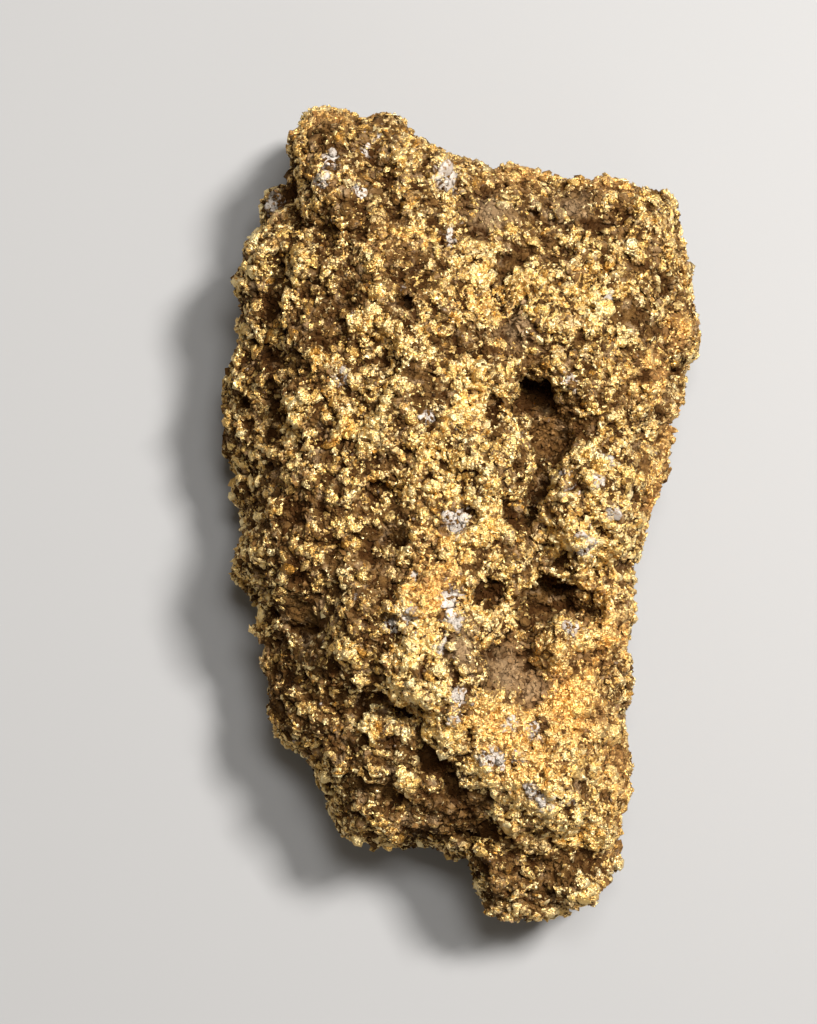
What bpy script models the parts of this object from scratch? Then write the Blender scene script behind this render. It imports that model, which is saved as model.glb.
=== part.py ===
"""A gold nugget: one lump of gold, ironstone and a little quartz grown together, lying on its flattest side.

Lengths are in millimetres until the last step, which turns them into Blender's metres.
X runs across the nugget, Y along it and Z up. The finished solid lies on z = 0, with the middle of its
bounding box over the origin.
"""

import bisect
import math
from collections import namedtuple

import bmesh
import bpy
from mathutils import Euler, Matrix, Vector, noise
from mathutils.bvhtree import BVHTree
from mathutils.geometry import intersect_point_line

MM = 0.001

# Driving dimensions. The outline below is about 48 wide and 82 long.
WAIST_HEIGHT = 9.0  # of the widest outline above the surface that the nugget lies on
CROWN_HEIGHT = 14.6  # of the top above the waist
CROWN_POWER = 2.7  # 2 would be an ellipse: more is flatter on top, with fuller shoulders
BELLY_POWER = 3.4
WORN_AWAY = 2.2  # of the lowest lumps, where the nugget rests
LEVELLED = 0.3  # that is worn off again at the end, so that the flats are truly level

SEED = 5
BALL_LEVEL = 7  # subdivisions of the ball that the body is shaped from
VOXEL = 0.45  # of the even meshes before and after the pits are cut
TRIANGLES = 9600  # of the finished solid, about
SHARP_EDGE = 40  # degrees

# The outline seen from above, counter-clockwise from the right.
OUTLINE = (
    (23.0, 13.5), (23.9, 17.0), (23.2, 22.5), (22.0, 28.0), (21.3, 32.2), (18.0, 33.6), (10.0, 33.2),
    (3.4, 34.6), (-2.3, 36.8), (-5.4, 38.6), (-7.2, 39.9), (-10.8, 39.3), (-12.8, 41.0), (-15.0, 40.8),
    (-17.3, 37.0), (-16.7, 33.5), (-19.6, 32.2), (-20.5, 30.2), (-19.8, 28.2), (-21.4, 26.5), (-22.0, 23.8),
    (-21.8, 19.4), (-21.2, 17.0), (-23.6, 14.0), (-23.2, 10.5), (-23.1, 5.5), (-21.5, 1.0), (-21.3, -2.6),
    (-22.9, -5.4), (-21.1, -9.0), (-18.8, -13.6), (-18.8, -18.0), (-17.6, -22.2), (-14.2, -24.8),
    (-12.7, -29.0), (-11.3, -32.3), (-8.2, -33.0), (-3.4, -33.5), (1.4, -34.6), (1.8, -37.9), (2.6, -40.4),
    (5.6, -41.0), (11.0, -39.7), (14.1, -38.0), (15.4, -34.2), (14.8, -30.6), (15.9, -27.0), (15.7, -20.6),
    (16.6, -17.2), (16.1, -14.0), (17.1, -9.0), (16.6, -5.8), (18.3, -2.0), (19.7, 2.4), (21.3, 8.8),
)  # fmt: skip

# A form is drawn on the upper side like a brush stroke along a path seen from above.
# rise is how far its middle is lifted, or sunk if that is negative.
Form = namedtuple("Form", "name path half_width rise")
FORMS = (
    Form("shelf falling to the right", ((20.8, 30.7), (21.2, 17.2), (19.5, 8.6)), 6.0, -2.6),
    Form("top edge falling away", ((2, 36), (18, 33)), 4.5, -2.2),
    Form("left flank", ((-22.0, 23.6), (-22.7, 0.0), (-20.5, -20.6)), 5.0, -2.4),
    Form("middle ridge", ((-6.3, 21.7), (-2.9, 5.6), (0.7, -4.3), (-3.5, -12.0)), 6.5, 1.6),
    Form("top left head", ((-13.2, 34.4), (-12.2, 30.6)), 3.8, 2.6),
    Form("second head", ((-7.3, 36.2), (-5.6, 32.2)), 3.0, 1.4),
    Form("cleft under the head", ((-18.4, 35.0), (-17.2, 30.2), (-16.3, 27.1)), 1.2, -3.2),
    Form("hooked ledge", ((-19.2, 25.3), (-21.3, 21.6), (-21.4, 17.3), (-19.2, 12.9)), 1.7, 1.9),
    Form("groove inside the hook", ((-18.2, 23.1), (-18.5, 18.6), (-17.2, 14.2)), 1.3, -2.8),
    Form("body edge beside the groove", ((-14.6, 22.9), (-15.8, 18.7), (-14.4, 14.4)), 2.2, 1.5),
    Form("upper left flank rib", ((-21.2, 11.4), (-20.4, 5.3)), 1.6, 1.3),
    Form("upper left flank groove", ((-18.7, 10.8), (-19.1, 2.9), (-19.2, -2.0)), 1.1, -0.9),
    Form("left flank rib", ((-16.8, 9.2), (-15.8, 0.1), (-16.7, -7.1)), 1.8, 1.2),
    Form("left flank hollow", ((-13.8, -9.4), (-15.5, -13.0)), 2.6, -2.4),
    Form("lower left shoulder", ((-10.3, -13.2), (-12.9, -17.1)), 2.6, 1.4),
    Form("step above the lower left lobe", ((-17.0, -15.2), (-11.4, -19.5), (-5.8, -20.8)), 1.7, -2.4),
    Form("lower left lobe", ((-13.6, -23.4), (-8.7, -25.0)), 4.0, 0.8),
    Form("pocket in the lower left lobe", ((-9.7, -28.1), (-7.6, -27.9)), 1.5, -1.8),
    Form("gully below the middle", ((-6.7, -18.8), (-3.9, -23.5), (-1.0, -27.2), (2.0, -32.2)), 1.1, -1.5),
    Form("lower right crest", ((-2.2, -17.4), (0.0, -20.6), (2.7, -24.7), (6.4, -29.4)), 3.8, 2.8),
    Form("lower right back", ((8.4, -20.4), (11.3, -26.6)), 4.6, 1.6),
    Form("drop to the toe", ((3.3, -31.3), (8.2, -33.0), (13.5, -33.3)), 2.8, -2.8),
    Form("toe", ((6.7, -37.3), (11.7, -36.1)), 4.0, -1.2),
    Form("basin above the crest", ((4.6, -15.8), (6.6, -18.0)), 2.6, -2.7),
    Form("basin left of the middle", ((-7.7, -2.1), (-7.4, -5.7)), 2.8, -2.3),
    Form("middle boss", ((-4.3, -10.1), (-1.2, -13.0)), 3.2, 1.0),
    Form("fissure", ((7.9, 10.5), (9.1, 6.0), (8.2, 1.9), (5.9, -1.6), (7.6, -5.1), (10.1, -9.5)), 2.0, -1.6),
    Form("bare floor of the fissure", ((8.4, 5.6), (11.6, 7.2)), 2.2, -1.9),
    Form("boss right of the fissure", ((13.1, 0.0), (12.5, -3.5)), 4.0, 2.4),
    Form("notch under that boss", ((16.0, -7.1), (12.8, -8.1)), 1.4, -1.8),
    Form("rim right of the cave", ((14.7, -9.9), (12.8, -13.6), (9.0, -13.9)), 1.7, 2.0),
    Form("boss right of the top", ((15.1, 18.1), (18.4, 12.6)), 4.2, 1.5),
    Form("hollow near the top right", ((9.1, 28.5), (15.0, 27.1)), 2.1, -2.2),
    Form("corner at the top right", ((18.4, 29.0), (18.8, 26.0)), 2.8, 2.2),
    Form("bare patch by the top edge", ((2.2, 28.7), (5.7, 27.0)), 2.8, -1.4),
    Form("bare patch above the fissure", ((3.8, 22.6), (4.1, 19.4)), 2.0, -1.5),
    Form("crest left of the fissure", ((2.2, 12.6), (3.0, 6.4), (0.8, -0.5)), 2.3, 1.3),
    Form("bright knob", ((-5.9, 15.2), (-5.9, 11.9)), 2.0, 1.2),
)  # fmt: skip

# A pit is cut by an uneven ball. Its place is seen from above, and lean tips it over, in degrees about
# X and Y, so that a rim overhangs.
Pit = namedtuple("Pit", "name place half_sides depth lean")
PITS = (
    Pit("dark pit of the fissure", (6.8, 9.6), (2.6, 2.1), 4.8, (20, 0)),
    Pit("crevice left of the dark pit", (2.8, 8.6), (0.8, 2.4), 2.2, (0, 0)),
    Pit("neck of the fissure", (7.2, 1.6), (1.3, 2.4), 1.7, (0, 0)),
    Pit("pocket left of the slot", (4.6, -1.9), (1.6, 1.3), 2.2, (0, 0)),
    Pit("slot in the fissure", (6.1, -1.3), (0.9, 1.8), 3.6, (0, -14)),
    Pit("crack in the boss", (11.6, -2.0), (0.7, 1.6), 2.6, (0, 0)),
    Pit("cave under the boss", (10.9, -10.2), (2.3, 1.9), 5.2, (20, 24)),
    Pit("floor of the cave", (8.0, -9.8), (3.3, 2.4), 4.2, (0, 0)),
    Pit("well at the fissure's end", (6.0, -11.8), (1.8, 1.7), 4.4, (0, 0)),
    Pit("crevice left of the cave", (2.2, -9.5), (1.3, 1.9), 2.6, (0, 0)),
    Pit("pinhole on the ridge", (-5.5, 18.4), (0.8, 0.9), 2.6, (0, 0)),
    Pit("pinhole on the right", (17.7, 12.0), (0.8, 0.9), 2.2, (0, 0)),
    Pit("crack by the top right hollow", (13.9, 27.2), (1.5, 0.8), 2.6, (16, 0)),
    Pit("crack in the gully", (-1.4, -27.0), (0.7, 2.2), 2.6, (0, -14)),
    Pit("bite in the left flank", (-15.3, -12.5), (1.6, 1.2), 2.8, (0, 12)),
)

Lumps = namedtuple("Lumps", "across height")
COBBLES = Lumps(across=7.5, height=2.3)
NODULES = Lumps(across=3.4, height=1.9)
CRUMBS = Lumps(across=1.8, height=0.7)
UNDULATION = Lumps(across=19.0, height=1.7)
WARP = Lumps(across=5.0, height=1.3)  # bends strokes and seams, so that they aren't straight
LUMPS_ON_THE_SIDE = 0.3  # of the cobbles' height, where the outline already has their waves
FORM_EDGE = 3  # 2 would be a bell-shaped stroke: more has steeper sides
PIT_ROUGHNESS = 0.42  # of a pit's size

GOLD = (0.80, 0.52, 0.16, 1.0)


def outline_radii():
    """The outline as sorted directions from the middle, in radians, and the radius in each."""
    polar = sorted((math.atan2(y, x), math.hypot(x, y)) for x, y in OUTLINE)
    first, last = polar[0], polar[-1]
    polar = [(last[0] - math.tau, last[1]), *polar, (first[0] + math.tau, first[1])]
    return [angle for angle, _ in polar], [radius for _, radius in polar]


def radius_towards(direction, angles, radii):
    after = bisect.bisect(angles, direction)
    share = (direction - angles[after - 1]) / (angles[after] - angles[after - 1])
    return radii[after - 1] * (1 - share) + radii[after] * share


def shape_body(bm):
    """Turns a unit ball into a pillow with the nugget's outline."""
    angles, radii = outline_radii()
    for vert in bm.verts:
        x, y, z = vert.co
        crown = z > 0
        power = CROWN_POWER if crown else BELLY_POWER
        out = math.hypot(x, y) ** (2 / power)
        up = abs(z) ** (2 / power)
        direction = math.atan2(y, x)
        radius = radius_towards(direction, angles, radii) * out
        height = WAIST_HEIGHT + (CROWN_HEIGHT * up if crown else -WAIST_HEIGHT * up)
        vert.co = (radius * math.cos(direction), radius * math.sin(direction), height)


def distance_to_path(point, path):
    """From a point seen from above to the nearest place on a path."""
    nearest = math.inf
    for start, end in zip(path, path[1:]):
        start, end = Vector(start), Vector(end)
        place, share = intersect_point_line(point, start, end)
        place = start.lerp(end, min(1.0, max(0.0, share)))
        nearest = min(nearest, (point - place).length)
    return nearest


def push_out(bm, amount_at):
    """Moves every vertex along its normal by amount_at(vertex)."""
    bm.normal_update()
    moves = [vert.normal * amount_at(vert) for vert in bm.verts]
    for vert, move in zip(bm.verts, moves):
        vert.co += move


def rise_at(point):
    """How far the drawn forms lift the body here. They fade out down the sides and spare the underside."""
    above_waist = (point.z - WAIST_HEIGHT * 0.6) / WAIST_HEIGHT
    if above_waist <= 0:
        return 0.0
    place = (point + noise.noise_vector(point / WARP.across) * WARP.height).xy
    rise = 0.0
    for form in FORMS:
        distance = distance_to_path(place, form.path) / form.half_width
        rise += form.rise * math.exp(-(distance**FORM_EDGE))
    return rise * min(1.0, above_waist)


def draw_forms(bm):
    """Lifts and sinks the upper side straight up and down, so that the outline stays as it is."""
    for vert in bm.verts:
        vert.co.z += rise_at(vert.co)


def cobbled(place, lumps):
    """Rounded lumps with sharp seams between them, from -0.5 in a seam to 0.5 on top of a lump."""
    nearest = noise.voronoi(place / lumps.across)[0][0]
    return 0.5 - min(1.0, nearest) ** 2 * 1.6


def lumps_at(vert):
    place = vert.co.copy()
    broad = noise.noise(place / UNDULATION.across) * UNDULATION.height
    place += noise.noise_vector(place / WARP.across) * WARP.height
    coarse = cobbled(place, COBBLES) * COBBLES.height
    upward = abs(vert.normal.z)
    return (broad + coarse) * (LUMPS_ON_THE_SIDE * (1 - upward) + upward)


def nodules_at(vert):
    place = vert.co.copy()
    place += noise.noise_vector(place / WARP.across * 2) * WARP.height / 2
    patchy = 0.65 + 0.5 * noise.noise(place / COBBLES.across)
    return cobbled(place, NODULES) * NODULES.height * patchy + cobbled(place, CRUMBS) * CRUMBS.height


def new_object(name, bm):
    mesh = bpy.data.meshes.new(name)
    bm.to_mesh(mesh)
    bm.free()
    made = bpy.data.objects.new(name, mesh)
    bpy.context.scene.collection.objects.link(made)
    return made


def new_cutter(name, bm):
    made = new_object(name, bm)
    made.hide_render = True
    made.display_type = "WIRE"
    return made


def pit_cutter(pit, body):
    """An uneven ball sunk to the pit's depth where the pit's axis meets the body from above."""
    above = Vector((*pit.place, 100.0))
    surface = body.ray_cast(above, Vector((0, 0, -1)))[0]
    bm = bmesh.new()
    bmesh.ops.create_icosphere(bm, subdivisions=4, radius=1.0)
    for vert in bm.verts:
        broad = noise.noise(vert.co * 1.7 + above)
        fine = noise.noise(vert.co * 4.1 + above)
        vert.co *= 1 + PIT_ROUGHNESS * (broad + fine / 2)
    turn = Euler([math.radians(angle) for angle in (*pit.lean, 0)]).to_matrix().to_4x4()
    size = Matrix.Diagonal((*pit.half_sides, pit.depth, 1.0))
    bmesh.ops.transform(bm, matrix=Matrix.Translation(surface) @ turn @ size, verts=bm.verts)
    return new_cutter(f"cutter {pit.name}", bm)


def cut(obj, cutter):
    modifier = obj.modifiers.new(cutter.name, "BOOLEAN")
    modifier.operation = "DIFFERENCE"
    modifier.solver = "MANIFOLD"  # EXACT can lose a body as uneven as this one
    modifier.object = cutter


def even_out(obj):
    """Gives the object an even mesh, with no slivers and nothing that runs through itself."""
    modifier = obj.modifiers.new("even mesh", "REMESH")
    modifier.mode = "VOXEL"
    modifier.voxel_size = VOXEL


def finished_mesh(obj):
    """The object's mesh with its modifiers applied."""
    graph = bpy.context.evaluated_depsgraph_get()
    return bpy.data.meshes.new_from_object(obj.evaluated_get(graph))


def connected_pieces(bm):
    """The vertices of each piece that hangs together, largest piece first."""
    pieces = []
    unseen = set(bm.verts)
    while unseen:
        piece = {unseen.pop()}
        front = set(piece)
        while front:
            front = {edge.other_vert(vert) for vert in front for edge in vert.link_edges} - piece
            piece |= front
        unseen -= piece
        pieces.append(piece)
    return sorted(pieces, key=len, reverse=True)


def drop_specks(mesh):
    """Removes the specks that cutting and thinning out leave loose."""
    bm = bmesh.new()
    bm.from_mesh(mesh)
    for speck in connected_pieces(bm)[1:]:
        bmesh.ops.delete(bm, geom=list(speck), context="VERTS")
    bm.to_mesh(mesh)
    bm.free()


def wear_flat(verts, depth):
    """Presses what is lowest level, so that the nugget rests on small flats."""
    level = min(vert.co.z for vert in verts) + depth
    for vert in verts:
        vert.co.z = max(vert.co.z, level)


def settle(mesh):
    """Puts the middle of the underside at the origin, and turns millimetres into metres."""
    sides = list(zip(*(vert.co for vert in mesh.vertices)))
    middle = [(min(side) + max(side)) / 2 for side in sides]
    mesh.transform(Matrix.Translation((-middle[0], -middle[1], -min(sides[2]))))
    mesh.transform(Matrix.Scale(MM, 4))


def gold_material():
    material = bpy.data.materials.new("rough gold")
    material.use_nodes = True
    shader = material.node_tree.nodes["Principled BSDF"]
    shader.inputs["Base Color"].default_value = GOLD
    shader.inputs["Metallic"].default_value = 0.8
    shader.inputs["Roughness"].default_value = 0.45
    return material


def make_nugget():
    noise.seed_set(SEED)
    bm = bmesh.new()
    bmesh.ops.create_icosphere(bm, subdivisions=BALL_LEVEL, radius=1.0)
    shape_body(bm)
    draw_forms(bm)
    push_out(bm, lumps_at)
    push_out(bm, nodules_at)
    wear_flat(bm.verts, WORN_AWAY)
    body = BVHTree.FromBMesh(bm)
    nugget = new_object("nugget", bm)

    even_out(nugget)
    cutters = [pit_cutter(pit, body) for pit in PITS]
    for cutter in cutters:
        cut(nugget, cutter)
    even_out(nugget)
    fine = finished_mesh(nugget)
    fine.calc_loop_triangles()
    thin_out = nugget.modifiers.new("thin out", "DECIMATE")
    thin_out.ratio = TRIANGLES / len(fine.loop_triangles)

    mesh = finished_mesh(nugget)
    nugget.modifiers.clear()
    nugget.data = mesh
    for cutter in cutters:
        bpy.data.objects.remove(cutter)
    drop_specks(mesh)
    wear_flat(mesh.vertices, LEVELLED)
    settle(mesh)
    mesh.shade_smooth()
    mesh.set_sharp_from_angle(angle=math.radians(SHARP_EDGE))
    mesh.materials.append(gold_material())
    return nugget


def main():
    for obj in list(bpy.data.objects):
        bpy.data.objects.remove(obj)
    make_nugget()


main()
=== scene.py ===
"""The looks of a gold nugget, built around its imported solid.

The solid gives the nugget's shape. A finer skin of ironstone and fused gold stands for it, and grains of
gold, crumbs of ironstone and lumps of quartz are set into that skin. Lengths are in millimetres where a
comment or a name says so, and in metres elsewhere, as in the frame.
"""

import math
from collections import namedtuple

import bmesh
import bpy
import numpy as np
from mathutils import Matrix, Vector, noise
from mathutils.bvhtree import BVHTree

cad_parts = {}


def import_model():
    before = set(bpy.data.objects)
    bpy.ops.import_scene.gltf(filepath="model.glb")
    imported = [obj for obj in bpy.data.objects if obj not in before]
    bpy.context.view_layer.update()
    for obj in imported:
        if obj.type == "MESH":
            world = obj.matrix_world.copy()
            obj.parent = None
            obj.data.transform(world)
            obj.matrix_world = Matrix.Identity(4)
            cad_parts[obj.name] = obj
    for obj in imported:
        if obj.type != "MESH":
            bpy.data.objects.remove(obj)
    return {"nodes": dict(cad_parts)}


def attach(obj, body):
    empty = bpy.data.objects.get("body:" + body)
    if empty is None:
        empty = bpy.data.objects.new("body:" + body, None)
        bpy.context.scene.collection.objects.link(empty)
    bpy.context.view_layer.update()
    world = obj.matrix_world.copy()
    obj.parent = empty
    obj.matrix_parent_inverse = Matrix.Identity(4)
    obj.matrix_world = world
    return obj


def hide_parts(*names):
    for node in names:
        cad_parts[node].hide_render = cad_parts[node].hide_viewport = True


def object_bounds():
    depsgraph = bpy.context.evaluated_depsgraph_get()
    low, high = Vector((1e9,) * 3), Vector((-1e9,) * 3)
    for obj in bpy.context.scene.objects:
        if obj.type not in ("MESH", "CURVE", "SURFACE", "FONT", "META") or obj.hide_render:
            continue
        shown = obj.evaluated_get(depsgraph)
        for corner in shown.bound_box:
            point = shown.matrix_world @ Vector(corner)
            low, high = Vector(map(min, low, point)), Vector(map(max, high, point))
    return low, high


MM = 0.001
SEED = 11

# The camera looks almost straight down. The picture is upright.
PICTURE = (817, 1024)  # pixels
CAMERA_ELEVATION = math.radians(84.5)
CAMERA_DISTANCE = 300 * MM
CAMERA_AIM = Vector((-5.3, -0.2, 9.0)) * MM
CLIP_START = 10 * MM
LENS, SENSOR = 105.0, 36.0  # mm

Light = namedtuple("Light", "name place size power colour")  # in metres and watts
LIGHTS = (
    Light("key", (0.32, 0.20, 0.65), (0.14, 0.14), 11.0, (1.0, 0.972, 0.945)),
    Light("overhead", (0.08, 0.16, 0.80), (0.26, 0.16), 3.6, (1.0, 1.0, 1.0)),
    Light("fill", (0.30, -0.60, 0.55), (0.40, 0.40), 0.6, (1.0, 1.0, 1.0)),
)
WORLD_COLOUR, WORLD_STRENGTH = (1.0, 0.87, 0.70), 0.20
FLOOR_REACH = 2.0  # from its middle to its edges
FLOOR_COLOUR, FLOOR_ROUGHNESS = (0.26, 0.26, 0.26), 0.6

# The skin's mesh, with lengths in mm.
SKIN_VOXEL = 0.27
SKIN_TRIANGLES = 190000
SKIN_SMOOTHING = 5  # rounds, which take the solid's facets away
SKIN_SINK = 0.30  # how far the skin lies inside the solid, to leave room for the grains
SKIN_GAP = 0.01  # at least, to the faces of the solid's bounding box

# The skin's relief, in mm. A lump's height is about that of its top above its seams.
Lumps = namedtuple("Lumps", "across height")
NODULES = Lumps(across=3.1, height=0.55)
CRUMBS = Lumps(across=1.7, height=0.52)
FOLDS = Lumps(across=1.2, height=0.45)
SPECKS = Lumps(across=0.85, height=0.25)
WARP = Lumps(across=2.3, height=0.75)  # bends the seams between lumps
LUMP_TOP, SEAM_DROP, FOLD_DROP = 0.5, 1.6, 1.8  # in heights
PATCHES_ACROSS, PATCHES_MIDDLE, PATCHES_SWING = 6.0, 0.75, 0.60  # share of the nodules' height, in patches
CALMED = 0.55  # share of the relief that is missing in the middle of a calm spot

# How far a place stands out of its surroundings is its openness, in standard deviations. It is taken for
# lumps against seams and for ridges against hollows, and the two are added with these shares.
OPENNESS_ROUNDS = (5, 40)  # of smoothing
OPENNESS_SHARES = (0.8, 0.2)
OPENNESS_LIMIT = 2.5

# The skin's share of gold, from 0 to 1, is this middle, more on lumps and ridges, and blots of noise.
GOLD_MIDDLE = 0.47
GOLD_ON_LUMPS, GOLD_ON_RIDGES = 0.13, 0.02
GOLD_BLOTS = ((5.0, 0.10), (1.9, 0.26), (0.8, 0.36))  # mm across, and how much they change the share
RUST_BLOTS = (7.0, 0.4)
GOLD_OFFSET, RUST_OFFSET = Vector((7, 3, 1)), Vector((1, 9, 4))  # so that blots don't follow each other

# A spot is where the camera sees something: a pixel of the picture, and a radius in mm.
Spot = namedtuple("Spot", "pixel radius")
BARE_SPOTS = (  # little gold
    Spot((490, 212), 1.6), Spot((508, 266), 1.4), Spot((552, 440), 3.6), Spot((543, 470), 1.8),
    Spot((395, 532), 2.1), Spot((415, 372), 1.2), Spot((503, 674), 2.4), Spot((463, 650), 1.5),
    Spot((530, 688), 1.7), Spot((572, 208), 2.2), Spot((545, 590), 2.8), Spot((465, 800), 3.4),
    Spot((300, 615), 3.0), Spot((395, 748), 1.4), Spot((375, 790), 1.8), Spot((560, 868), 1.8),
    Spot((350, 296), 1.4), Spot((440, 400), 1.4), Spot((340, 560), 1.2), Spot((650, 330), 1.3),
    Spot((516, 328), 1.6), Spot((628, 316), 2.0),
)  # fmt: skip
# Clean gold and painted light: these spots make the gold more plentiful and brighter, also on slopes that lie
# in shade from the key light.
GOLD_AND_LIGHT_SPOTS = (  # much clean gold
    Spot((396, 350), 2.6), Spot((520, 750), 4.8), Spot((572, 704), 3.8), Spot((430, 590), 2.6),
    Spot((545, 812), 2.6), Spot((600, 300), 3.0), Spot((485, 300), 2.8), Spot((418, 700), 3.6),
    Spot((600, 640), 2.4), Spot((470, 400), 3.4), Spot((480, 520), 2.8), Spot((610, 560), 2.4),
    Spot((365, 430), 2.6), Spot((372, 318), 1.8), Spot((596, 772), 2.0), Spot((590, 530), 3.0),
    Spot((420, 650), 3.4), Spot((490, 740), 3.8), Spot((510, 785), 2.6), Spot((522, 292), 2.6),
    Spot((475, 258), 2.6), Spot((592, 450), 2.8), Spot((455, 472), 2.6), Spot((500, 812), 2.6),
    Spot((428, 716), 2.8), Spot((478, 765), 2.6), Spot((490, 838), 1.6), Spot((585, 565), 1.8),
    Spot((460, 545), 1.8), Spot((462, 605), 1.8), Spot((400, 600), 1.6), Spot((574, 838), 3.0),
    Spot((404, 490), 2.2), Spot((490, 785), 2.6), Spot((585, 592), 1.8), Spot((455, 738), 2.2),
    Spot((566, 545), 2.6), Spot((500, 715), 2.4), Spot((290, 420), 2.2), Spot((430, 450), 1.8),
)  # fmt: skip
# Painted shade as well as a brown film: these spots darken and dull the gold along the flank that faces away
# from the key light, and in a few other places.
FILM_AND_SHADE_SPOTS = (  # a brown film on the gold
    Spot((335, 125), 3.4), Spot((244, 262), 3.8), Spot((234, 340), 3.8), Spot((226, 430), 3.4),
    Spot((234, 520), 3.8), Spot((248, 610), 3.6), Spot((275, 700), 3.4), Spot((310, 780), 3.0),
    Spot((420, 830), 3.6), Spot((500, 880), 3.0), Spot((285, 190), 2.4), Spot((312, 334), 2.8),
    Spot((358, 602), 2.0), Spot((340, 745), 2.0), Spot((345, 212), 2.2), Spot((300, 512), 2.6),
    Spot((290, 775), 2.6), Spot((300, 830), 2.6), Spot((410, 285), 2.2), Spot((282, 745), 2.2),
    Spot((418, 872), 3.4),
)  # fmt: skip
# Umber stone and painted shade: these spots darken the deep hollows, whose darkness is partly their own
# colour and partly shade.
UMBER_AND_SHADE_SPOTS = (  # umber, as deep hollows are
    Spot((533, 396), 1.7), Spot((497, 408), 1.1), Spot((513, 516), 1.2), Spot((568, 594), 1.8),
    Spot((527, 621), 1.0), Spot((490, 592), 1.3), Spot((587, 515), 0.7), Spot((436, 764), 1.5),
    Spot((462, 802), 1.5), Spot((486, 836), 1.2), Spot((335, 665), 1.4), Spot((276, 310), 1.6),
    Spot((262, 360), 1.8), Spot((296, 180), 1.2), Spot((406, 321), 0.7), Spot((588, 223), 0.9),
    Spot((642, 375), 0.7), Spot((300, 570), 1.4),
)  # fmt: skip
DUSTY_SPOTS = (  # pale stone
    Spot((463, 650), 1.8), Spot((503, 674), 2.8), Spot((532, 690), 2.0), Spot((488, 212), 2.4),
    Spot((516, 328), 1.8), Spot((570, 210), 1.8),
)  # fmt: skip
# Ochre stain and painted warm bounce light: the spots along the right rim tint it orange, as light thrown
# back onto it would.
RUST_AND_BOUNCE_SPOTS = (  # ochre stone and warm gold
    Spot((560, 700), 6.0), Spot((600, 650), 4.0), Spot((520, 745), 5.0), Spot((615, 760), 4.5),
    Spot((430, 590), 3.0), Spot((660, 380), 3.0), Spot((668, 460), 3.0), Spot((330, 115), 2.4),
    Spot((684, 330), 3.0), Spot((672, 420), 3.6), Spot((650, 500), 3.4), Spot((640, 560), 2.4),
    Spot((625, 640), 2.6), Spot((628, 720), 2.6), Spot((520, 175), 2.6), Spot((610, 190), 3.0),
    Spot((545, 440), 3.0),
)  # fmt: skip
CALM_SPOTS = (  # a flatter relief
    Spot((520, 745), 5.0), Spot((560, 700), 5.0), Spot((600, 640), 3.4), Spot((590, 770), 4.0),
    Spot((545, 812), 2.4), Spot((628, 720), 3.4), Spot((668, 460), 3.0), Spot((688, 330), 3.4),
    Spot((665, 400), 3.0), Spot((642, 560), 2.6), Spot((560, 440), 3.6), Spot((435, 590), 2.6),
    Spot((690, 270), 2.6), Spot((600, 850), 2.4), Spot((490, 212), 2.2), Spot((628, 640), 2.8),
)  # fmt: skip
QUARTZ_SPOTS = (
    Spot((274, 204), 1.2), Spot((331, 160), 0.9), Spot((364, 152), 0.7), Spot((322, 182), 0.7),
    Spot((449, 181), 1.4), Spot((358, 190), 0.7), Spot((376, 136), 0.6), Spot((451, 238), 0.8),
    Spot((457, 522), 1.3), Spot((450, 597), 1.1), Spot((454, 622), 1.0), Spot((410, 617), 1.0),
    Spot((392, 624), 0.8), Spot((417, 577), 0.7), Spot((429, 417), 0.7), Spot((342, 378), 0.8),
    Spot((439, 648), 0.6), Spot((458, 697), 1.0), Spot((455, 717), 0.7), Spot((511, 725), 0.8),
    Spot((533, 728), 0.9), Spot((487, 757), 1.0), Spot((497, 758), 0.8), Spot((520, 760), 0.6),
    Spot((530, 791), 0.8), Spot((544, 802), 0.9), Spot((569, 627), 0.8), Spot((572, 802), 0.5),
    Spot((609, 296), 0.4), Spot((566, 473), 0.6), Spot((608, 457), 0.9), Spot((600, 481), 0.7),
    Spot((572, 491), 0.6), Spot((613, 513), 0.8), Spot((582, 549), 1.2), Spot((569, 380), 0.6),
)  # fmt: skip
SPOTS = {
    "bare": BARE_SPOTS, "gold_and_light": GOLD_AND_LIGHT_SPOTS, "film_and_shade": FILM_AND_SHADE_SPOTS, "umber_and_shade": UMBER_AND_SHADE_SPOTS,
    "dusty": DUSTY_SPOTS, "rust_and_bounce": RUST_AND_BOUNCE_SPOTS, "milk": QUARTZ_SPOTS,
}  # fmt: skip

# How much each kind of spot, and the openness, adds to what the looks follow. coat is how much brown film a
# grain of gold has, and shade how bright a grain is; both hold painted shade and painted light as well.
# Through the openness, the skin, its crumbs and its grains are painted darker and browner in crevices and
# hollows, and lighter on lumps.
OPEN_WEIGHTS = {"umber_and_shade": -2.5, "film_and_shade": -0.8, "bare": 1.2}
RUST_WEIGHTS = {"bare": -0.5}
GOLD_WEIGHTS = {"gold_and_light": 0.30, "bare": -0.45, "milk": -0.25, "umber_and_shade": -0.30, "film_and_shade": -0.14}
COAT_WEIGHTS = {"gold_and_light": -0.20, "bare": 0.20, "film_and_shade": 0.32, "open": -0.10}
SHADE_WEIGHTS = {"open": 0.16, "gold_and_light": 0.25, "film_and_shade": -0.32}
CRUMB_SHADE_WEIGHTS = {"open": -0.3}
COAT_MIDDLE, COAT_FOR_GOLD = 0.53, -0.9  # where half is gold, and how the coat changes with the share
SHADE_MIDDLE = 0.40
COAT_VARIETY, SHADE_VARIETY, CRUMB_VARIETY, STAIN_VARIETY = 0.15, 0.24, 0.25, 0.1  # from grain to grain

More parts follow.
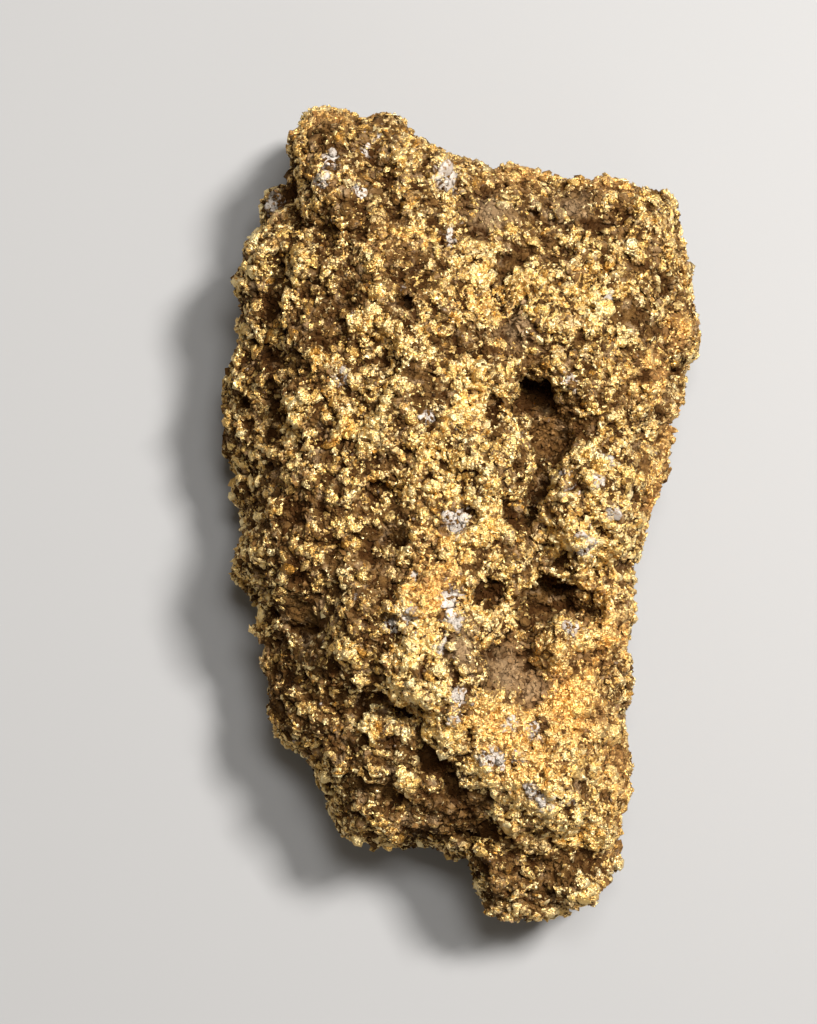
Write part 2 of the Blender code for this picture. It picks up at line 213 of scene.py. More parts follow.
# Grains are uneven balls, flattened against the skin: their name, how many faces the ball has, how many of
# them there are, and in mm their usual radius and its limits. spread is that of the radius's logarithm.
# flatness is the share of its height that a grain keeps, and proud is how far its middle stands out of the
# skin, in radii.
OCTAHEDRON, ICOSAHEDRON, FINE_BALL = 8, 20, 320  # faces
Grains = namedtuple("Grains", "name ball count radius spread limits flatness proud")
GOLD_GRAINS = (
    Grains("gold_grains_coarse", ICOSAHEDRON, 7500, 0.44, 0.26, (0.26, 0.80), 0.32, 0.06),
    Grains("gold_grains_medium", ICOSAHEDRON, 9800, 0.31, 0.22, (0.18, 0.50), 0.45, 0.15),
    Grains("gold_grains_fine", OCTAHEDRON, 24000, 0.22, 0.22, (0.12, 0.36), 0.60, 0.15),
)
IRONSTONE_CRUMBS = Grains("ironstone_crumbs", OCTAHEDRON, 22000, 0.20, 0.30, (0.12, 0.42), 0.8, 0.10)
GRAIN_TILT = 0.42  # how far the way a grain is flattened strays from the skin's
GRAIN_JITTER = 0.34  # of a grain's radius, by which its corners differ
GRAIN_STRETCH = (0.60, 1.35)  # along each of its axes
WORN = 0.12  # mm at most, by which a grain stays clear of the faces of the solid's bounding box
# How closely grains lie: more of them where there is more gold, and fewer where the skin looks down.
GOLD_SLOPE, GOLD_DROP, GOLD_POWER, LEAST_GRAINS = 2.6, 0.8, 1.4, 0.08
CRUMBS_TOP, LEAST_CRUMBS = 1.1, 0.15
UPWARD_MIDDLE, UPWARD_SLOPE, LEAST_BELOW = 0.65, 0.6, 0.25

# Quartz. Shares of length are of a spot's radius, or of a chunk's where that is said.
QUARTZ_CHUNKS = 3  # in each spot
CHUNK_SIZE = (0.45, 0.75)
CHUNK_SHIFT = 0.5
CHUNK_FLATTENING = 0.55  # share of its height that a chunk loses
CHUNK_SINK = 0.30  # of the chunk's radius
CHUNK_CUTS, CUT_DEPTHS = 9, (0.55, 0.85)  # planes, and how far they are from its middle, in its radii
CHUNK_VARIETY = 0.18  # of the chunk's radius
CHUNK_BUMPS, CHUNK_BUMP_HEIGHT = 2.5, 0.16  # how many to a radius, and their height in radii
QUARTZ_GAP = 0.05  # mm at least, to the faces of the solid's bounding box
STRAY_QUARTZ = 36  # spots on the sides and the underside
STRAY_RADIUS = (0.4, 0.9)  # mm
SIDE_SLOPE = 0.35  # a side's normal points up by no more than this

# All UV maps lie in the unit square. A grain's face has one of the two halves of a small square there, with a
# margin around it.
HALVES = np.array([[[0.1, 0.1], [0.8, 0.1], [0.1, 0.8]], [[0.9, 0.9], [0.2, 0.9], [0.9, 0.2]]])
OVAL_RADII = (0.225, 0.45)
OVAL_SHIFT = 0.25  # from the middle of the square to the middle of each oval
OVAL_RIM = -0.9  # keeps a face that reaches over the rim of an oval from being drawn out without limit

UMBER = (0.034, 0.0120, 0.0018)
BROWN = (0.138, 0.071, 0.020)
DUST = (0.32, 0.215, 0.115)
OCHRE = (0.330, 0.165, 0.052)
PALE_OCHRE = (0.44, 0.22, 0.07)
DEEP_GOLD = (0.43, 0.215, 0.042)
GOLD = (0.82, 0.562, 0.190)
PALE_GOLD = (0.95, 0.785, 0.42)
WAN_GOLD = (0.76, 0.62, 0.40)
ORANGE_GOLD = (0.84, 0.52, 0.185)
CLEAR_QUARTZ = (0.27, 0.23, 0.195)
MILKY_QUARTZ = (0.58, 0.52, 0.45)
STAIN = (0.20, 0.115, 0.05)
STONE_GLOSS = 0.07  # earth reflects little
NOISE_RANGE = (0.3, 0.7)  # nearly all of a noise node's values

Skin = namedtuple("Skin", "obj places normals triangles open gold tree")  # places in mm, tree in metres


# ---------------------------------------------------------------- camera and light


def make_camera():
    camera = bpy.data.objects.new("camera", bpy.data.cameras.new("camera"))
    bpy.context.scene.collection.objects.link(camera)
    bpy.context.scene.camera = camera
    camera.data.lens = LENS
    camera.data.sensor_width = SENSOR
    camera.data.clip_start = CLIP_START
    back = Vector((0, -math.cos(CAMERA_ELEVATION), math.sin(CAMERA_ELEVATION)))
    camera.location = CAMERA_AIM + back * CAMERA_DISTANCE
    camera.rotation_euler = back.to_track_quat("Z", "Y").to_euler()
    bpy.context.view_layer.update()
    return camera


def seen_at(pixel, camera, tree):
    """The place on the skin that shows at a pixel of the picture."""
    focal = LENS / SENSOR * PICTURE[1]
    across = (pixel[0] - PICTURE[0] / 2) / focal
    up = (PICTURE[1] / 2 - pixel[1]) / focal
    direction = camera.matrix_world.to_3x3() @ Vector((across, up, -1))
    return tree.ray_cast(camera.location, direction)[0]


def make_studio():
    for light in LIGHTS:
        obj = bpy.data.objects.new(light.name, bpy.data.lights.new(light.name, "AREA"))
        bpy.context.scene.collection.objects.link(obj)
        obj.data.shape = "RECTANGLE"
        obj.data.size, obj.data.size_y = light.size
        obj.data.energy = light.power
        obj.data.color = light.colour
        obj.location = light.place
        obj.rotation_euler = Vector(light.place).to_track_quat("Z", "Y").to_euler()
    bpy.context.scene.view_settings.view_transform = "Standard"
    world = bpy.data.worlds.new("studio")
    bpy.context.scene.world = world
    world.use_nodes = True
    background = world.node_tree.nodes["Background"]
    background.inputs["Color"].default_value = (*WORLD_COLOUR, 1)
    background.inputs["Strength"].default_value = WORLD_STRENGTH


def make_floor():
    bm = bmesh.new()
    bmesh.ops.create_grid(bm, x_segments=2, y_segments=2, size=FLOOR_REACH)
    mesh = bpy.data.meshes.new("floor")
    bm.to_mesh(mesh)
    bm.free()
    floor = bpy.data.objects.new("floor", mesh)
    bpy.context.scene.collection.objects.link(floor)
    graph = Graph("floor")
    graph.set("Base Color", FLOOR_COLOUR)
    graph.set("Roughness", FLOOR_ROUGHNESS)
    mesh.materials.append(graph.material)


# ---------------------------------------------------------------- node materials


class Graph:
    """A material's node tree around its Principled BSDF. Sizes of noise and depths of bumps are in mm."""

    def __init__(self, name):
        self.material = bpy.data.materials.new(name)
        self.material.use_nodes = True
        self.tree = self.material.node_tree
        self.shader = self.tree.nodes["Principled BSDF"]
        self.place = self.tree.nodes.new("ShaderNodeTexCoord").outputs["Object"]

    def set(self, socket, value):
        self.feed(value, self.shader.inputs[socket])

    def feed(self, value, socket):
        """Links an output to a socket, or sets the socket to a number or a colour."""
        if isinstance(value, bpy.types.NodeSocket):
            self.tree.links.new(value, socket)
        elif isinstance(value, tuple):
            socket.default_value = (*value, 1)
        else:
            socket.default_value = value

    def noise(self, across, detail=3.0, roughness=0.6):
        node = self.tree.nodes.new("ShaderNodeTexNoise")
        self.feed(self.place, node.inputs["Vector"])
        node.inputs["Scale"].default_value = 1 / (across * MM)
        node.inputs["Detail"].default_value = detail
        node.inputs["Roughness"].default_value = roughness
        return node.outputs["Fac"]

    def cells(self, across):
        """The distance to the middle of the nearest cell."""
        node = self.tree.nodes.new("ShaderNodeTexVoronoi")
        self.feed(self.place, node.inputs["Vector"])
        node.inputs["Scale"].default_value = 1 / (across * MM)
        return node.outputs["Distance"]

    def attribute(self, name):
        node = self.tree.nodes.new("ShaderNodeAttribute")
        node.attribute_name = name
        return node.outputs["Fac"]

    def math(self, operation, first, second=0.0, clamp=False):
        node = self.tree.nodes.new("ShaderNodeMath")
        node.operation = operation
        node.use_clamp = clamp
        self.feed(first, node.inputs[0])
        self.feed(second, node.inputs[1])
        return node.outputs[0]

    def span(self, value, low, high, to_low=0.0, to_high=1.0):
        """value from low to high, made to run from to_low to to_high and no further."""
        node = self.tree.nodes.new("ShaderNodeMapRange")
        self.feed(value, node.inputs["Value"])
        node.inputs["From Min"].default_value = low
        node.inputs["From Max"].default_value = high
        node.inputs["To Min"].default_value = to_low
        node.inputs["To Max"].default_value = to_high
        return node.outputs["Result"]

    def between(self, share, at_none, at_full):
        """Runs from at_none to at_full as share goes from 0 to 1."""
        return self.span(share, 0.0, 1.0, at_none, at_full)

    def drift(self, across, low, high, **settings):
        """Noise that runs from low to high."""
        return self.span(self.noise(across, **settings), *NOISE_RANGE, low, high)

    def ramp(self, value, *stops):
        """Colours along value, each stop being (position, colour)."""
        node = self.tree.nodes.new("ShaderNodeValToRGB")
        self.feed(value, node.inputs["Fac"])
        elements = node.color_ramp.elements
        while len(elements) < len(stops):
            elements.new(0.5)
        for element, (position, colour) in zip(elements, stops):
            element.position = position
            element.color = (*colour, 1)
        return node.outputs["Color"]

    def mix(self, share, first, second):
        """The colour first where share is 0, and second where it is 1."""
        node = self.tree.nodes.new("ShaderNodeMix")
        node.data_type = "RGBA"
        self.feed(share, node.inputs[0])
        self.feed(first, node.inputs[6])
        self.feed(second, node.inputs[7])
        return node.outputs[2]

    def bump(self, height, depth, under=None):
        """A bump that is depth deep where height goes from 0 to 1, on top of the bump under."""
        node = self.tree.nodes.new("ShaderNodeBump")
        node.inputs["Distance"].default_value = depth * MM
        self.feed(height, node.inputs["Height"])
        if under is not None:
            self.feed(under, node.inputs["Normal"])
        return node.outputs["Normal"]


def ironstone_colour(graph, rust_and_bounce):
    """Limonite: umber to brown, ochre where it is rusty and where painted warm bounce light falls, and pale
    where it is dusty.
    """
    plain = graph.ramp(graph.noise(1.6, detail=5.0), (0.36, UMBER), (0.54, BROWN), (0.70, DUST))
    rusty = graph.ramp(graph.noise(0.35), (0.25, BROWN), (0.55, OCHRE), (0.80, PALE_OCHRE))
    dusty = graph.math("MULTIPLY", graph.attribute("dusty"), 0.65)
    return graph.mix(dusty, graph.mix(rust_and_bounce, plain, rusty), DUST)


def gold_colour(graph, shade, rust_and_bounce):
    """Deep gold to pale gold, wan in patches, and warmer where it is rusty and where painted warm bounce
    light falls.
    """
    yellow = graph.ramp(shade, (0.0, DEEP_GOLD), (0.45, GOLD), (1.0, PALE_GOLD))
    yellow = graph.mix(graph.span(graph.noise(2.0), 0.50, 0.66, 0.0, 0.35), yellow, WAN_GOLD)
    warm = graph.ramp(shade, (0.0, DEEP_GOLD), (0.50, ORANGE_GOLD), (1.0, GOLD))
    return graph.mix(rust_and_bounce, yellow, warm)


def quartz_colour(graph):
    """Milky quartz, greyer where it is clear."""
    return graph.ramp(graph.noise(0.9, detail=4.0), (0.3, CLEAR_QUARTZ), (0.65, MILKY_QUARTZ))


def milkiness(graph):
    """How much quartz shows, in blots with soft edges."""
    return graph.span(graph.math("ADD", graph.attribute("milk"), graph.drift(0.5, -0.3, 0.3)), 0.32, 0.74)


def crumpled(graph, across, depth):
    """The bump of fused gold, crumpled like foil."""
    fine = graph.bump(graph.noise(across / 3, detail=2.0), depth / 4)
    folds = graph.math("ABSOLUTE", graph.span(graph.noise(across, detail=2.0), 0.2, 0.8, -1.0, 1.0))
    return graph.bump(folds, depth, under=fine)


def skin_material():
    """Ironstone with gold fused into it, where the attribute gold says so, in grains down to 0.3 mm."""
    graph = Graph("ironstone and gold")
    rust_and_bounce = graph.attribute("rust_and_bounce")
    open_up = graph.attribute("open")
    grain = graph.cells(0.5)
    clumps = graph.drift(0.9, -0.42, 0.42, detail=4.0, roughness=0.7)
    wanted = graph.math("ADD", graph.attribute("gold"), clumps)
    wanted = graph.math("SUBTRACT", wanted, graph.span(grain, 0.25, 0.75, 0.0, 0.35))
    milk = milkiness(graph)
    metal = graph.math("MULTIPLY", graph.span(wanted, 0.36, 0.50), graph.between(milk, 1.0, 0.0))
    stone = ironstone_colour(graph, rust_and_bounce)
    # Painted shade: the stone turns umber in crevices and hollows, where the openness is low.
    stone = graph.mix(graph.span(open_up, -1.1, 0.8, 0.94, 0.0), stone, UMBER)
    stone = graph.mix(milk, stone, quartz_colour(graph))
    # Painted shade and painted light: the gold is darker in crevices and hollows and paler on lumps, with
    # tone that varies at random.
    shade = graph.math("ADD", graph.span(open_up, -1.0, 1.5, -0.1, 0.45), graph.noise(0.7), clamp=True)
    graph.set("Base Color", graph.mix(metal, stone, gold_colour(graph, shade, rust_and_bounce)))
    graph.set("Metallic", metal)
    graph.set("Roughness", graph.between(metal, 0.82, 0.46))
    graph.set("Specular IOR Level", STONE_GLOSS)
    rounded = graph.span(grain, 0.0, 0.8, 1.0, 0.0)
    graph.set("Normal", graph.bump(rounded, 0.20, under=crumpled(graph, 0.45, 0.18)))
    return graph.material


def gold_material():
    """Native gold, with a brown film where the attribute coat says so, and quartz where milk does. coat also
    holds painted shade.
    """
    graph = Graph("gold grains")
    rust_and_bounce = graph.attribute("rust_and_bounce")
    film = graph.math("ADD", graph.attribute("coat"), graph.drift(0.5, -0.35, 0.35))
    film = graph.span(film, 0.42, 0.62)
    shade = graph.math("ADD", graph.attribute("shade"), graph.drift(0.4, -0.15, 0.15))
    milk = milkiness(graph)
    colour = graph.mix(film, gold_colour(graph, shade, rust_and_bounce), ironstone_colour(graph, rust_and_bounce))
    graph.set("Base Color", graph.mix(milk, colour, quartz_colour(graph)))
    metal = graph.math("MULTIPLY", graph.between(film, 1.0, 0.15), graph.between(milk, 1.0, 0.1))
    graph.set("Metallic", metal)
    rough = graph.math("ADD", graph.drift(0.3, 0.34, 0.58), graph.between(film, 0.0, 0.35))
    graph.set("Roughness", rough)
    graph.set("Specular IOR Level", STONE_GLOSS)
    graph.set("Normal", crumpled(graph, 0.38, 0.17))
    return graph.material


def crumb_material():
    """Ironstone, darker where the attribute shade says so, which is painted shade in crevices and hollows and
    tone that varies at random.
    """
    graph = Graph("ironstone crumbs")
    colour = ironstone_colour(graph, graph.attribute("rust_and_bounce"))
    graph.set("Base Color", graph.mix(graph.attribute("shade"), colour, UMBER))
    graph.set("Roughness", graph.drift(0.6, 0.7, 0.95))
    graph.set("Specular IOR Level", STONE_GLOSS)
    graph.set("Normal", graph.bump(graph.noise(0.18), 0.06))
    return graph.material


def quartz_material():
    """Milky quartz, stained brown in blots."""
    graph = Graph("milky quartz")
    stained = graph.span(graph.noise(0.45, detail=5.0), 0.50, 0.60)
    graph.set("Base Color", graph.mix(stained, quartz_colour(graph), STAIN))
    graph.set("Roughness", graph.drift(0.4, 0.25, 0.6))
    graph.set("Normal", graph.bump(graph.noise(0.3, detail=4.0), 0.12))
    return graph.material


# ---------------------------------------------------------------- skin


def smoothed(values, edges, rounds):
    """Each vertex's values, averaged again and again with those of its neighbours."""
    ends = np.concatenate([edges[:, 0], edges[:, 1]])
    others = np.concatenate([edges[:, 1], edges[:, 0]])
    count = np.bincount(ends, minlength=len(values))[:, None] + 1
    for _ in range(rounds):
        sums = [np.bincount(ends, column, len(values)) for column in values[others].T]
        values = (values + np.stack(sums, 1)) / count
    return values


def openness(places, normals, edges, rounds):
    """How much each vertex stands out of its surroundings, in standard deviations."""
    out = ((places - smoothed(places, edges, rounds)) * normals).sum(1)
    return np.clip(out / out.std(), -OPENNESS_LIMIT, OPENNESS_LIMIT)


def cobbled(place, lumps):
    """Rounded lumps with sharp seams between them, in mm."""
    nearest = noise.voronoi(place / lumps.across)[0][0]
    return (LUMP_TOP - SEAM_DROP * min(1.0, nearest) ** 2) * lumps.height


def relief_at(place):
    """How far the skin stands out here, in mm."""
    bent = place + noise.noise_vector(place / WARP.across) * WARP.height
    patchy = PATCHES_MIDDLE + PATCHES_SWING * noise.noise(place / PATCHES_ACROSS)
    fold = (LUMP_TOP - FOLD_DROP * abs(noise.noise(bent / FOLDS.across))) * FOLDS.height
    speck = noise.noise(bent / SPECKS.across) * SPECKS.height
    return cobbled(bent, NODULES) * patchy + cobbled(bent, CRUMBS) + fold + speck


def noise_at(places, across, offset):
    """Noise from about -1 to 1 at each place."""
    return np.array([noise.noise(Vector(place) / across + offset) for place in places])


def numbers(items, name, width, kind=np.float32):
    """One property of all items, in rows of the given width."""
    found = np.empty(len(items) * width, kind)
    items.foreach_get(name, found)
    return found.reshape(-1, width)


def move_vertices(mesh, places):
    """Moves a mesh's vertices to places in mm."""
    mesh.vertices.foreach_set("co", (places * MM).ravel())
    mesh.update()


def remade(mesh, *modifiers):
    """The mesh after some modifiers, each given as its type and its settings."""
    source = bpy.data.objects.new("source", mesh)
    bpy.context.scene.collection.objects.link(source)
    for kind, settings in modifiers:
        modifier = source.modifiers.new(kind, kind)
        for name, value in settings.items():
            setattr(modifier, name, value)
    graph = bpy.context.evaluated_depsgraph_get()
    made = bpy.data.meshes.new_from_object(source.evaluated_get(graph))
    bpy.data.objects.remove(source)
    return made


def rough_mesh(node, camera):
    """The node's mesh, made even, smoothed, given its relief and thinned out to SKIN_TRIANGLES."""
    even = ("REMESH", {"mode": "VOXEL", "voxel_size": SKIN_VOXEL * MM})
    mesh = remade(node.data, even, ("SMOOTH", {"iterations": SKIN_SMOOTHING}))
    places = numbers(mesh.vertices, "co", 3) / MM
    normals = numbers(mesh.vertices, "normal", 3)
    tree = BVHTree.FromPolygons((places * MM).tolist(), [list(face.vertices) for face in mesh.polygons])
    calm = 1 - CALMED * nearness(places, CALM_SPOTS, camera, tree)
    relief = np.array([relief_at(Vector(place)) for place in places]) * calm
    move_vertices(mesh, places + normals * (relief - SKIN_SINK)[:, None])
    triangles = sum(len(polygon.vertices) - 2 for polygon in mesh.polygons)
    mesh = remade(mesh, ("DECIMATE", {"ratio": SKIN_TRIANGLES / triangles}))
    mesh.name = "skin"
    mesh.materials.clear()
    mesh.shade_smooth()
    return mesh


def make_skin(node, box, camera):
    """The skin, with its openness and its share of gold before any spots."""
    mesh = rough_mesh(node, camera)
    places = np.clip(numbers(mesh.vertices, "co", 3) / MM, box[0] + SKIN_GAP, box[1] - SKIN_GAP)
    move_vertices(mesh, places)
    obj = bpy.data.objects.new("skin", mesh)
    bpy.context.scene.collection.objects.link(obj)
    normals = numbers(mesh.vertices, "normal", 3)
    edges = numbers(mesh.edges, "vertices", 2, np.int32)
    mesh.calc_loop_triangles()
    triangles = numbers(mesh.loop_triangles, "vertices", 3, np.int32)
    tree = BVHTree.FromPolygons((places * MM).tolist(), triangles.tolist())
    lump, ridge = (openness(places, normals, edges, rounds) for rounds in OPENNESS_ROUNDS)
    open_up = OPENNESS_SHARES[0] * lump + OPENNESS_SHARES[1] * ridge
    gold = GOLD_MIDDLE + GOLD_ON_LUMPS * lump + GOLD_ON_RIDGES * ridge
    for across, share in GOLD_BLOTS:
        gold += share * noise_at(places, across, GOLD_OFFSET)
    return Skin(obj, places, normals, triangles, open_up, gold, tree)


def nearness(places, spots, camera, tree):
    """How much each place belongs to the nearest spot, from 1 in its middle to 0 well outside."""
    near = np.zeros(len(places))
    for spot in spots:
        middle = seen_at(spot.pixel, camera, tree)
        if middle is not None:
            distance = np.linalg.norm(places - np.array(middle) / MM, axis=1) / spot.radius
            near = np.maximum(near, np.exp(-(distance**2)))
    return near


def weighted(base, fields, weights):
    """base, and each field that has a weight times that weight."""
    return sum((weight * fields[name] for name, weight in weights.items()), base)


def skin_fields(skin, camera):
    """What the looks follow, by name, with a value for each vertex of the skin."""
    fields = {name: nearness(skin.places, spots, camera, skin.tree) for name, spots in SPOTS.items()}
    across, amount = RUST_BLOTS
    rust_and_bounce = fields["rust_and_bounce"] + noise_at(skin.places, across, RUST_OFFSET) * amount
    fields["rust_and_bounce"] = np.clip(weighted(rust_and_bounce, fields, RUST_WEIGHTS), 0, 1)
    fields["open"] = weighted(skin.open, fields, OPEN_WEIGHTS)
    fields["gold"] = np.clip(weighted(skin.gold, fields, GOLD_WEIGHTS), 0, 1)
    return fields


def add_attribute(mesh, name, values):
    mesh.attributes.new(name, "FLOAT", "POINT").data.foreach_set("value", values.astype(np.float32))


def unroll_skin(mesh, places, box):
    """A UV map of the skin: its upper half in one oval and its lower half in another."""
    middle = (box[0] + box[1]) / 2
    outward = (places - middle) / ((box[1] - box[0]) / 2)
    outward /= np.linalg.norm(outward, axis=1)[:, None]
    loops = numbers(mesh.loops, "vertex_index", 1, np.int32)[:, 0]
    totals = numbers(mesh.polygons, "loop_total", 1, np.int32)[:, 0]
    starts = numbers(mesh.polygons, "loop_start", 1, np.int32)[:, 0]
    height = np.add.reduceat(outward[loops, 2], starts) / totals
    upper = np.repeat(np.where(height > 0, 1.0, -1.0), totals)
    direction = outward[loops]
    scale = np.sqrt(1 / (1 + np.maximum(direction[:, 2] * upper, OVAL_RIM)))
    u = 0.5 - upper * OVAL_SHIFT + OVAL_RADII[0] * direction[:, 0] * scale
    v = 0.5 + OVAL_RADII[1] * direction[:, 1] * scale
    layer = mesh.uv_layers.new(name="OFBake")
    layer.data.foreach_set("uv", np.stack([u, v], 1).astype(np.float32).ravel())


def dress_skin(skin, fields, box):
    """Gives the skin its map, its values and its material. It stands for the nugget's solid."""
    unroll_skin(skin.obj.data, skin.places, box)
    for name in ("gold", "rust_and_bounce", "open", "milk", "dusty"):
        add_attribute(skin.obj.data, name, fields[name])
    skin.obj.data.materials.append(skin_material())
    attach(skin.obj, "root")
    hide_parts("nugget")


# ---------------------------------------------------------------- grains and quartz


def ball(face_count):
    """Corners and triangles of an even ball of radius 1."""
    bm = bmesh.new()
    if face_count == OCTAHEDRON:
        bmesh.ops.create_uvsphere(bm, u_segments=4, v_segments=2, radius=1.0)
    else:
        subdivisions = {ICOSAHEDRON: 1, FINE_BALL: 3}[face_count]
        bmesh.ops.create_icosphere(bm, subdivisions=subdivisions, radius=1.0)
    corners = np.array([vert.co for vert in bm.verts])
    faces = np.array([[vert.index for vert in face.verts] for face in bm.faces])
    bm.free()
    return corners, faces


def random_turns(rng, count):
    """Rotation matrices with no favoured direction."""
    w, x, y, z = rng.normal(size=(4, count))
    size = np.sqrt(w * w + x * x + y * y + z * z)
    w, x, y, z = w / size, x / size, y / size, z / size
    rows = (
        (1 - 2 * (y * y + z * z), 2 * (x * y - z * w), 2 * (x * z + y * w)),
        (2 * (x * y + z * w), 1 - 2 * (x * x + z * z), 2 * (y * z - x * w)),
        (2 * (x * z - y * w), 2 * (y * z + x * w), 1 - 2 * (x * x + y * y)),
    )
    return np.array(rows).transpose(2, 0, 1)


def scatter(rng, skin, weights, count):
    """Random places on the skin, more of them where its triangles weigh more: triangles and places in mm."""
    a, b, c = (skin.places[skin.triangles[:, corner]] for corner in range(3))
    areas = np.linalg.norm(np.cross(b - a, c - a), axis=1)
    chances = areas * weights[skin.triangles].mean(1)
    chosen = rng.choice(len(skin.triangles), count, p=chances / chances.sum())
    u, v = rng.random((2, count))
    over = u + v > 1
    u, v = np.where(over, 1 - u, u)[:, None], np.where(over, 1 - v, v)[:, None]
    return chosen, a[chosen] * (1 - u - v) + b[chosen] * u + c[chosen] * v


def grain_corners(rng, grains, radii, middles, normals):
    """The corners in mm of uneven balls, a little flattened against the skin."""
    corners, faces = ball(grains.ball)
    count = len(radii)
    uneven = corners * (1 + rng.uniform(-GRAIN_JITTER, GRAIN_JITTER, (count, len(corners), 1)))
    uneven = uneven + rng.uniform(-0.5, 0.5, (count, len(corners), 3)) * GRAIN_JITTER
    uneven = uneven * rng.uniform(*GRAIN_STRETCH, (count, 1, 3))
    turned = np.einsum("nij,nkj->nki", random_turns(rng, count), uneven)
    across = normals + rng.normal(size=(count, 3)) * GRAIN_TILT
    across /= np.linalg.norm(across, axis=1)[:, None]
    along = np.einsum("nki,ni->nk", turned, across)
    turned = turned - (1 - grains.flatness) * along[:, :, None] * across[:, None, :]
    placed = turned * radii[:, None, None] + middles[:, None, :]
    all_faces = faces[None] + np.arange(count)[:, None, None] * len(corners)
    return placed, all_faces.reshape(-1, 3)


def cell_map(mesh, count, faces_each):
    """A UV map that gives each grain a square of its own, and each face in it half of a smaller square."""
    across = math.ceil(math.sqrt(count))
    rows = math.ceil(math.sqrt(faces_each / 2))
    number = np.arange(count * faces_each)
    grain, face = number // faces_each, number % faces_each
    square = face // 2
    corner = np.stack([grain % across + square % rows / rows, grain // across + square // rows / rows], 1)
    places = corner[:, None, :] + HALVES[face % 2] / rows
    layer = mesh.uv_layers.new(name="OFBake")
    layer.data.foreach_set("uv", (places / across).astype(np.float32).ravel())


def mesh_piece(name, places, faces, material):
    """A piece that rides on the nugget's body, from corners in mm and triangles."""
    mesh = bpy.data.meshes.new(name)
    mesh.from_pydata((places * MM).tolist(), [], faces.tolist())
    mesh.materials.append(material)
    obj = bpy.data.objects.new(name, mesh)
    bpy.context.scene.collection.objects.link(obj)
    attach(obj, "root")
    return obj


def make_grains(rng, skin, grains, weights, looks, box, material):
    """Grains set into the skin. looks holds, by name, values that they take from it and how these vary."""
    count = grains.count
    chosen, middles = scatter(rng, skin, weights, count)
    vertices = skin.triangles[chosen, 0]
    normals = skin.normals[vertices]
    radii = np.clip(grains.radius * np.exp(rng.normal(size=count) * grains.spread), *grains.limits)
    middles = middles + normals * (radii * grains.proud)[:, None]
    places, faces = grain_corners(rng, grains, radii, middles, normals)
    worn = rng.uniform(0.0, WORN, (count, 1, 1))
    places = np.clip(places, box[0] + worn, box[1] - worn)
    obj = mesh_piece(grains.name, places.reshape(-1, 3), faces, material)
    each = places.shape[1]
    for name, (values, variety) in looks.items():
        own = values[vertices] + rng.normal(size=count) * variety
        add_attribute(obj.data, name, np.repeat(own, each))
    cell_map(obj.data, count, len(faces) // count)
    return obj


def make_all_grains(rng, skin, fields, box):
    """Gold grains, which are shaded smooth, and ironstone crumbs, which keep their flat faces."""
    gold = fields["gold"]
    upward = np.clip(UPWARD_MIDDLE + UPWARD_SLOPE * skin.normals[:, 2], LEAST_BELOW, 1)
    stone = {"rust_and_bounce": (fields["rust_and_bounce"], STAIN_VARIETY), "dusty": (fields["dusty"], STAIN_VARIETY)}

    weights = np.clip(gold * GOLD_SLOPE - GOLD_DROP, LEAST_GRAINS, 1) ** GOLD_POWER * upward
    # shade and coat hold painted shade and painted light as well as tone and film: grains are darker and more
    # filmed in crevices, hollows and the spots of painted shade, and brighter and cleaner on lumps and in the
    # spots of painted light.
    looks = {
        "shade": (weighted(SHADE_MIDDLE, fields, SHADE_WEIGHTS), SHADE_VARIETY),
        "coat": (weighted(COAT_MIDDLE + COAT_FOR_GOLD * (gold - 0.5), fields, COAT_WEIGHTS), COAT_VARIETY),
        "milk": (fields["milk"], STAIN_VARIETY),
        **stone,
    }
    material = gold_material()
    for grains in GOLD_GRAINS:
        obj = make_grains(rng, skin, grains, weights, looks, box, material)
        obj.data.shade_smooth()

    weights = np.clip(CRUMBS_TOP - gold, LEAST_CRUMBS, 1) * upward
    # The crumbs' shade is painted shade: crumbs turn umber in crevices and hollows.
    looks = {"shade": (weighted(SHADE_MIDDLE, fields, CRUMB_SHADE_WEIGHTS), CRUMB_VARIETY), **stone}
    make_grains(rng, skin, IRONSTONE_CRUMBS, weights, looks, box, crumb_material())


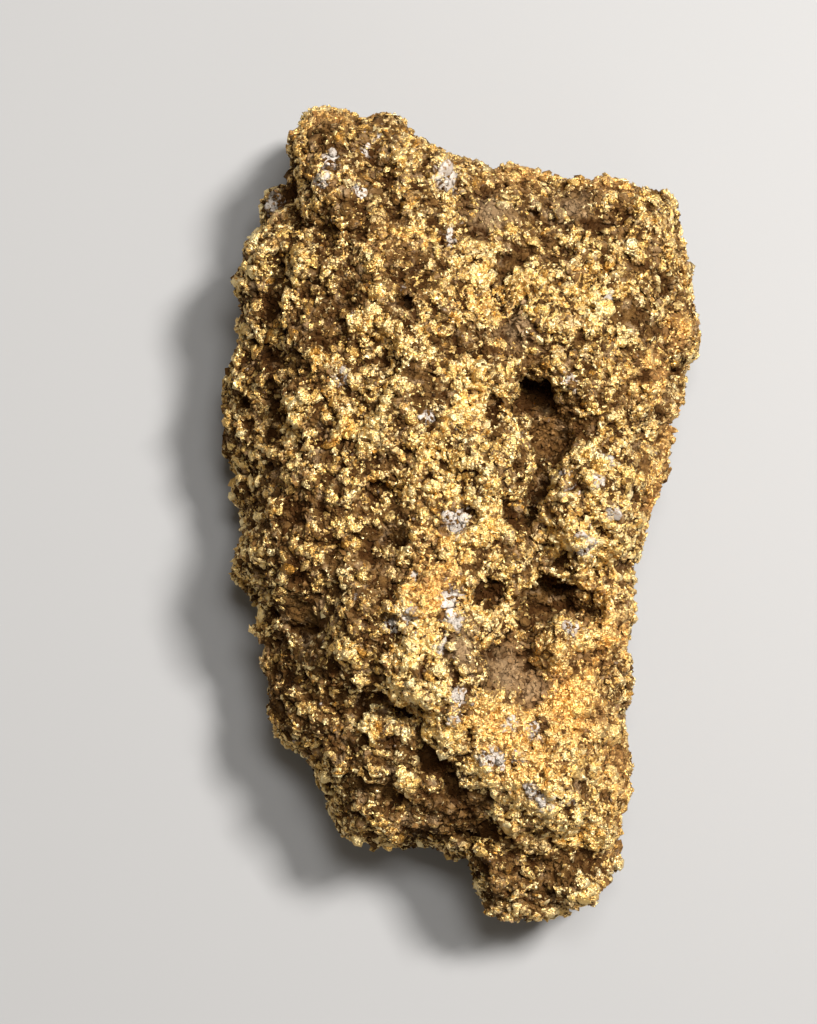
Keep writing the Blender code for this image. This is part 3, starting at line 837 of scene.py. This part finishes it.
def chunk_shape(rng, corners):
    """A ball of radius about 1, cut by a few random planes and roughened."""
    shape = corners * (1 + CHUNK_VARIETY * rng.normal(size=(1, 1)))
    for _ in range(CHUNK_CUTS):
        across = rng.normal(size=3)
        across /= np.linalg.norm(across)
        beyond = np.maximum(shape @ across - rng.uniform(*CUT_DEPTHS), 0)
        shape = shape - beyond[:, None] * across
    offset = Vector(rng.uniform(-50, 50, 3))
    rough = np.array([noise.noise(Vector(corner) * CHUNK_BUMPS + offset) for corner in corners])
    return shape * (1 + CHUNK_BUMP_HEIGHT * rough[:, None])


def stray_spots(rng, skin, count):
    """Spots for quartz on the sides and the underside, where the camera can't place them."""
    sides = (skin.normals[:, 2] < SIDE_SLOPE).astype(float)
    _, places = scatter(rng, skin, sides, count)
    return [(place, rng.uniform(*STRAY_RADIUS)) for place in places]


def make_quartz(rng, skin, spots, box):
    """Milky chunks, some of them close together in each spot. A spot is a place in mm and a radius in mm."""
    corners, faces = ball(FINE_BALL)
    places, all_faces = [], []
    for middle, radius in spots:
        normal = skin.normals[np.argmin(((skin.places - middle) ** 2).sum(1))]
        for _ in range(QUARTZ_CHUNKS):
            size = radius * rng.uniform(*CHUNK_SIZE)
            shift = rng.normal(size=3) * radius * CHUNK_SHIFT
            shift -= normal * np.dot(shift, normal)
            shape = chunk_shape(rng, corners)
            shape = (shape - CHUNK_FLATTENING * (shape @ normal)[:, None] * normal) * size
            all_faces.append(faces + len(places) * len(corners))
            places.append(middle + shift - normal * size * CHUNK_SINK + shape)
    count = len(places)
    places = np.clip(np.concatenate(places), box[0] + QUARTZ_GAP, box[1] - QUARTZ_GAP)
    obj = mesh_piece("quartz", places, np.concatenate(all_faces), quartz_material())
    obj.data.shade_smooth()
    cell_map(obj.data, count, len(faces))


# ---------------------------------------------------------------- the nugget


def main():
    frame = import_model()
    cad_low, cad_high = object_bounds()
    box = np.array(cad_low) / MM, np.array(cad_high) / MM
    noise.seed_set(SEED)
    rng = np.random.default_rng(SEED)

    camera = make_camera()
    skin = make_skin(frame["nodes"]["nugget"], box, camera)
    fields = skin_fields(skin, camera)
    dress_skin(skin, fields, box)
    make_all_grains(rng, skin, fields, box)
    seen = [(np.array(seen_at(spot.pixel, camera, skin.tree)) / MM, spot.radius) for spot in QUARTZ_SPOTS]
    make_quartz(rng, skin, seen + stray_spots(rng, skin, STRAY_QUARTZ), box)

    make_floor()
    make_studio()


main()
